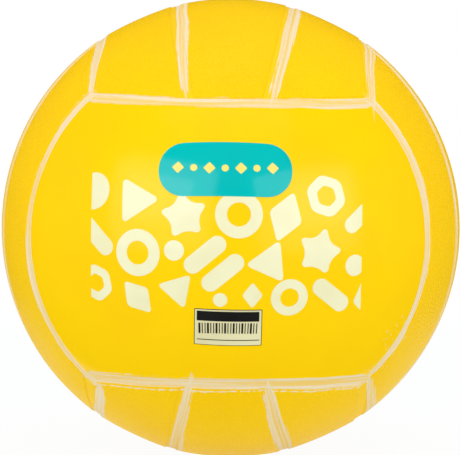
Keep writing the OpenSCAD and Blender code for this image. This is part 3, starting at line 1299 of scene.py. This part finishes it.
    def pull_in(self, piece: Piece) -> None:
        """Pulls every second point of a star's outline inwards."""
        bpy.ops.mesh.select_all(action="DESELECT")
        shape = bmesh.from_edit_mesh(piece.data)
        for number, point in enumerate(shape.verts):
            point.select_set(number % 2 == 1)
        bmesh.update_edit_mesh(piece.data)
        bpy.ops.transform.resize(value=(self.star_waist, self.star_waist, 1))
        bpy.ops.mesh.select_all(action="SELECT")

    @staticmethod
    def face_up(piece: Piece) -> None:
        """Turns a flat piece's faces up where they look down."""
        if piece.data.polygons[0].normal.z < 0:
            with editing(piece):
                bpy.ops.mesh.flip_normals()

    def dice(self, piece: Piece) -> None:
        """Cuts a flat piece into small cells, so that it can follow the ball."""
        reach = max(max(abs(v.co.x), abs(v.co.y)) for v in piece.data.vertices)
        count = ceil(reach / self.cell)
        with editing(piece):
            for normal in (Vector((1, 0, 0)), Vector((0, 1, 0))):
                for step in range(-count, count + 1):
                    bpy.ops.mesh.select_all(action="SELECT")
                    place = normal * (step * self.cell + self.cell_shift)
                    bpy.ops.mesh.bisect(plane_co=place, plane_no=normal)


@dataclass
class Inside:
    """The parts that keep their modelled solids: the valve, the bladder and the wound thread."""

    nodes: dict[str, Piece]

    def dress(self) -> None:
        """Gives each of them its finish."""
        boot = RubberFinish(screen(58, 58, 60), screen(96, 95, 92))
        core = RubberFinish(screen(20, 20, 21), screen(60, 59, 57), 0.45)
        bladder = RubberFinish(screen(30, 30, 32), screen(120, 119, 116), 0.5)
        for node, finish, name in (
            ("valve_boot", boot, "valve_rubber"),
            ("valve_core", core, "core_rubber"),
            ("bladder", bladder, "bladder_rubber"),
            ("winding", ThreadFinish(), "wound_thread"),
        ):
            self.nodes[node].data.materials.clear()
            self.nodes[node].data.materials.append(finish.material(name))
            LOG.info("%s: finish %s", node, name)


# The studio


class Lamp(Enum):
    """What a lamp does: it lights the ball, or shows only as a reflection in its gloss."""

    LIGHT = "light"
    SHEEN = "sheen"


def set_stand(
    name: str, data: bpy.types.ID, azimuth_deg: float, elevation_deg: float, distance: float
) -> Piece:
    """Stands a lamp or a camera round the ball and aims it at the middle.

    Args:
        name: The stand's name.
        data: The lamp or the camera.
        azimuth_deg: 0 is straight in front, and it turns to the right.
        elevation_deg: How far up it stands.
        distance: How far from the middle it stands.

    Returns:
        The stand.
    """
    azimuth, elevation = radians(azimuth_deg), radians(elevation_deg)
    back = Vector((sin(azimuth) * cos(elevation), -cos(azimuth) * cos(elevation), sin(elevation)))
    stand = bpy.data.objects.new(name, data)
    bpy.context.scene.collection.objects.link(stand)
    stand.location = back * distance
    stand.rotation_mode = "QUATERNION"
    stand.rotation_quaternion = (-back).to_track_quat("-Z", "Y")
    return stand


@dataclass(frozen=True)
class SoftBox:
    """A soft lamp aimed at the ball: its role, its place, its size and how bright its face is."""

    name: str
    role: Lamp
    azimuth_deg: float
    elevation_deg: float
    distance: float
    width: float
    height: float
    radiance: float

    def place(self) -> None:
        """Sets the lamp up."""
        lamp = bpy.data.lights.new(self.name, "AREA")
        lamp.shape = "RECTANGLE"
        lamp.size, lamp.size_y = self.width, self.height
        lamp.energy = self.radiance * pi * self.width * self.height
        stand = set_stand(self.name, lamp, self.azimuth_deg, self.elevation_deg, self.distance)
        stand.visible_camera = False
        stand.visible_glossy = self.role is Lamp.SHEEN
        stand.visible_diffuse = self.role is Lamp.LIGHT


@dataclass(frozen=True)
class Studio:
    """The camera, the lamps, the white floor and the dark cloth round them."""

    floor_z: float
    distance: float = 0.95105
    azimuth_deg: float = 1.15
    elevation_deg: float = 4.57
    roll: float = radians(0.64)
    lens_mm: float = 159.03
    sensor_mm: float = 36.0
    shift_px: Span = (-0.7, 0.2)
    ambient: float = 0.875
    floor_r: float = 0.7
    floor_tone: Colour = screen(230, 243, 250)
    floor_shadow: float = 0.06
    shadow_span: Span = (0.35, 0.665)
    table_glow: float = 0.52
    flag_gap: Span = (0.24, 0.37)
    flag_back: float = 0.29
    room_r: float = 2.6
    rim_points: int = 96

    def set_up(self) -> None:
        """Sets up everything in the studio."""
        self.camera()
        self.world()
        self.floor()
        self.dark_room()
        for lamp in self.lamps():
            lamp.place()
        bpy.context.scene.view_settings.view_transform = "Standard"

    def camera(self) -> None:
        """Stands the camera where the photograph was taken from."""
        eye = bpy.data.cameras.new("camera")
        eye.lens = self.lens_mm
        eye.sensor_width = self.sensor_mm
        eye.shift_x, eye.shift_y = (pixels / PHOTO_WIDTH for pixels in self.shift_px)
        stand = set_stand("camera", eye, self.azimuth_deg, self.elevation_deg, self.distance)
        stand.rotation_quaternion = stand.rotation_quaternion @ Quaternion((0, 0, 1), self.roll)
        bpy.context.scene.camera = stand

    def lamps(self) -> list[SoftBox]:
        """The light from above the camera, and the soft boxes beside it that the gloss shows."""
        return [
            SoftBox("key_box", Lamp.LIGHT, 0, 45, 1.4, 1.4, 1.0, 1.3),
            SoftBox("left_fill", Lamp.LIGHT, -85, 4, 1.4, 1.0, 1.0, 0.66),
            SoftBox("right_fill", Lamp.LIGHT, 85, 4, 1.4, 1.0, 1.0, 0.66),
            SoftBox("left_box", Lamp.SHEEN, -33, 14, 1.3, 1.2, 0.95, 2.3),
            SoftBox("left_core", Lamp.SHEEN, -35, 17, 1.2, 0.7, 0.4, 2.6),
            SoftBox("right_box", Lamp.SHEEN, 39, 12, 1.3, 1.2, 0.86, 2.3),
            SoftBox("right_core", Lamp.SHEEN, 44, 15, 1.2, 0.6, 0.4, 2.6),
            SoftBox("high_bar", Lamp.SHEEN, -4, 62, 1.3, 1.3, 0.22, 0.6),
            SoftBox("roof_box", Lamp.SHEEN, 0, 89, 1.3, 0.65, 0.6, 3.5),
        ]

    def seen_white(self, bench: NodeBench) -> Wire:
        """1 for a ray from the camera, or from gloss or glass, and 0 for the light itself."""
        path = bench.node("ShaderNodeLightPath", output="Is Camera Ray")
        gloss, glass = path.output("Is Glossy Ray"), path.output("Is Transmission Ray")
        return path.at_least(gloss).at_least(glass)

    def world(self) -> None:
        """Even light all round, in front of a white background."""
        world = bpy.data.worlds.new("studio")
        world.use_nodes = True
        world.cycles.sampling_method = "NONE"
        bench = NodeBench(world.node_tree)
        strength = self.ambient + self.seen_white(bench) * (1.0 - self.ambient)
        light = bench.node("ShaderNodeBackground", None, {"Color": WHITE, "Strength": strength})
        bench.node("ShaderNodeOutputWorld", None, {"Surface": light})
        bpy.context.scene.world = world

    def floor(self) -> None:
        """A white table under the ball that shows white and keeps a faint shadow."""
        middle = (0, 0, self.floor_z)
        bpy.ops.mesh.primitive_circle_add(
            vertices=self.rim_points, radius=self.floor_r, fill_type="NGON", location=middle
        )
        floor = named("floor")
        material, bench = new_material("floor_white")
        matt = bench.node("ShaderNodeBsdfDiffuse", None, {"Color": self.floor_tone})
        white = bench.node("ShaderNodeEmission", None, {"Color": WHITE, "Strength": 1.0})
        away = bench.vector("LENGTH", bench.place(), output="Value")
        shadow = (1 - away.rise(*self.shadow_span)) * self.floor_shadow
        share = (self.seen_white(bench) * (1 - shadow)).at_least(self.table_glow)
        mixed = bench.node("ShaderNodeMixShader", None, {0: share, 1: matt, 2: white})
        bench.node("ShaderNodeOutputMaterial", None, {"Surface": mixed})
        material.cycles.emission_sampling = "NONE"
        floor.data.materials.append(material)

    def dark_room(self) -> None:
        """Black cloth all round, and on the table with an oval gap, that only the gloss sees."""
        material, bench = new_material("cloth_black")
        black = bench.node("ShaderNodeEmission", None, {"Color": BLACK, "Strength": 0.0})
        bench.node("ShaderNodeOutputMaterial", None, {"Surface": black})
        bpy.ops.mesh.primitive_uv_sphere_add(segments=48, ring_count=24, radius=self.room_r)
        self.hang(named("dark_cloth"), material)
        bpy.ops.mesh.primitive_circle_add(
            vertices=self.rim_points, radius=self.floor_r, location=(0, 0, self.floor_z + MM)
        )
        flag = named("dark_flag")
        with editing(flag):
            bpy.ops.mesh.extrude_edges_move()
            wide, deep = (half / self.floor_r for half in self.flag_gap)
            bpy.ops.transform.resize(value=(wide, deep, 1))
            bpy.ops.transform.translate(value=(0, self.flag_back, 0))
        self.hang(flag, material)

    @staticmethod
    def hang(cloth: Piece, material: Material) -> None:
        """Hides a cloth from everything but gloss."""
        cloth.data.materials.append(material)
        cloth.visible_camera = False
        cloth.visible_diffuse = False
        cloth.visible_transmission = False
        cloth.visible_volume_scatter = False
        cloth.visible_shadow = False


def main() -> None:
    """Builds the ball round its frame, piece by piece."""
    logging.basicConfig(level=logging.INFO, format="%(message)s")
    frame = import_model()
    nodes = frame["nodes"]
    panel_low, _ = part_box("front_panel")
    layout = CoverLayout(radius=-panel_low.y)
    brush = BrushWork(layout)
    Studio(floor_z=-layout.radius).set_up()
    Carcass(layout, brush).build()
    SeamPaint(layout, brush).build()
    Cover(layout, brush).build()
    FrontPrint(layout).build()
    Inside(nodes).dress()


if __name__ == "__main__":
    main()
